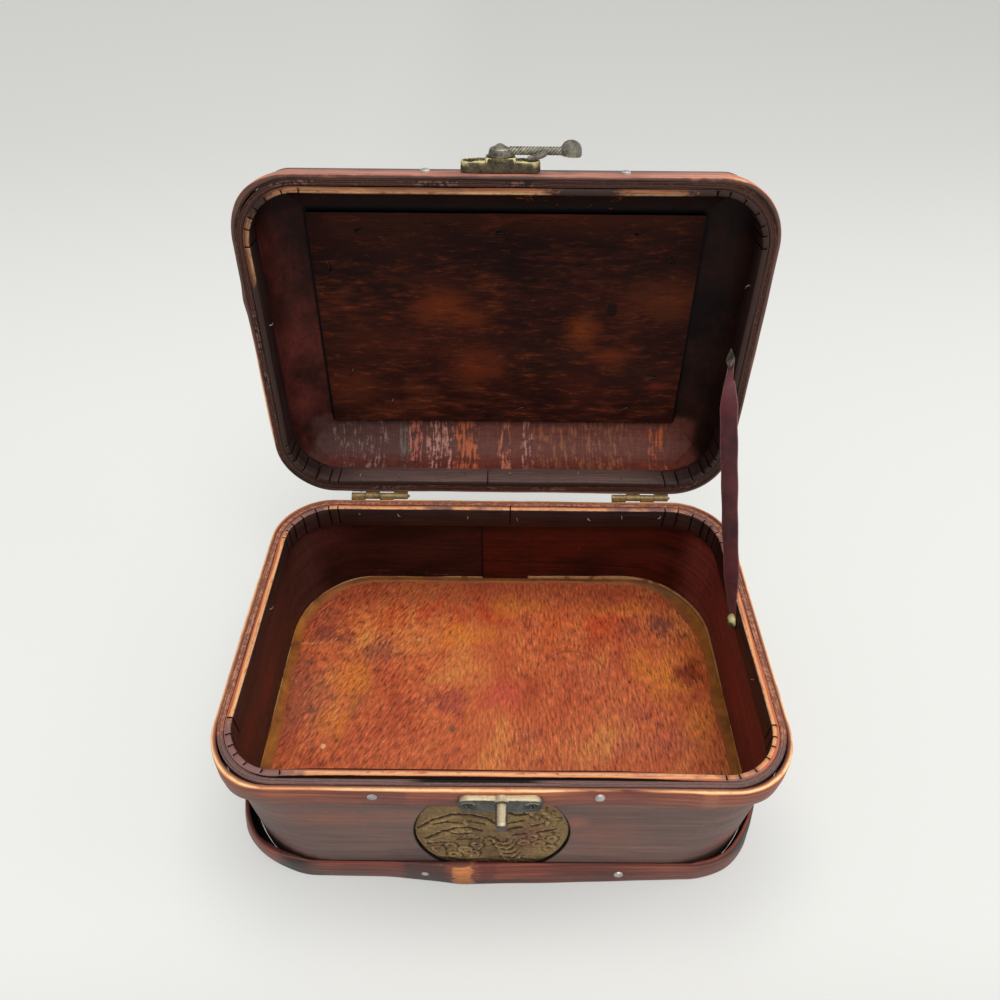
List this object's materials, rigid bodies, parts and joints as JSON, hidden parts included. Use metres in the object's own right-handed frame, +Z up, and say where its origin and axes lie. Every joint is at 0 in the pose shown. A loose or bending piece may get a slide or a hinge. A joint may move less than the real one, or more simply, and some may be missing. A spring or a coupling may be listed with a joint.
{
  "type": "ditty box",
  "caption": "Small bent-ply ditty box with bamboo rim bands, a coved lid on butt hinges held open by a ribbon stay, a round front medallion and a swinging hook latch.",
  "frame": {"origin": "centre of the underside, on the surface the box stands on", "axes": "+X to the right seen from the front, +Y to the back, +Z up; the lid is open at rest"},
  "size_m": [0.2202, 0.2113, 0.229],
  "materials": {
    "ply": "stained and worn ply, grey-brown outside and dark maroon inside",
    "floor_board": "orange-brown varnished board",
    "bamboo": "reddish stained bamboo with orange worn edges",
    "liner_wood": "dark stained strip with kerfs",
    "lid_panel": "dark brown varnished board",
    "glue": "dried yellow-ochre glue",
    "relief": "brown relief with a bronze-coloured finish",
    "bronze": "antiqued bronze, grey-green with brass highlights",
    "hinge_brass": "aged brass",
    "nail_steel": "plain nail heads",
    "ribbon": "maroon satin"
  },
  "bodies": {
    "base": {"base_wall": "ply", "base_floor": "floor_board", "floor_glue_bead": "glue", "base_upper_band": "bamboo", "base_lower_band": "bamboo", "base_liner": "liner_wood", "medallion": "relief", "catch_plate": "bronze", "catch_peg": "bronze", "catch_screws": "bronze", "upper_band_nails": "nail_steel", "lower_band_nails": "nail_steel", "hinge_left_base_leaf": "hinge_brass", "hinge_right_base_leaf": "hinge_brass", "hinge_left_pin": "hinge_brass", "hinge_right_pin": "hinge_brass", "hinge_base_nails": "hinge_brass", "ribbon_stay": "ribbon", "ribbon_tack_base": "hinge_brass"},
    "lid": {"lid_front_side": "ply", "lid_rear_side": "ply", "lid_left_side": "ply", "lid_right_side": "ply", "lid_top_panel": "ply", "lid_inner_panel": "lid_panel", "lid_band": "bamboo", "lid_liner": "liner_wood", "lid_panel_nails": "nail_steel", "lid_band_nails": "nail_steel", "hinge_left_lid_leaf": "hinge_brass", "hinge_right_lid_leaf": "hinge_brass", "hinge_lid_nails": "hinge_brass", "latch_plate": "bronze", "latch_rivet": "bronze", "latch_screws": "bronze", "ribbon_tack_lid": "hinge_brass"},
    "hook": {"latch_hook": "bronze"}
  },
  "joints": [
    {"name": "lid_hinge", "type": "hinge", "parent": "base", "child": "lid", "pos_m": [0, 0.076, 0.0702], "axis": [1, 0, 0], "range_deg": [0, 96], "deforming": ["ribbon_stay"]},
    {"name": "hook_swing", "type": "hinge", "parent": "lid", "child": "hook", "pos_m": [-0.0026, 0.0984, 0.224], "axis": [0, 0.1045, 0.9945], "range_deg": [-56.5, 110]}
  ]
}
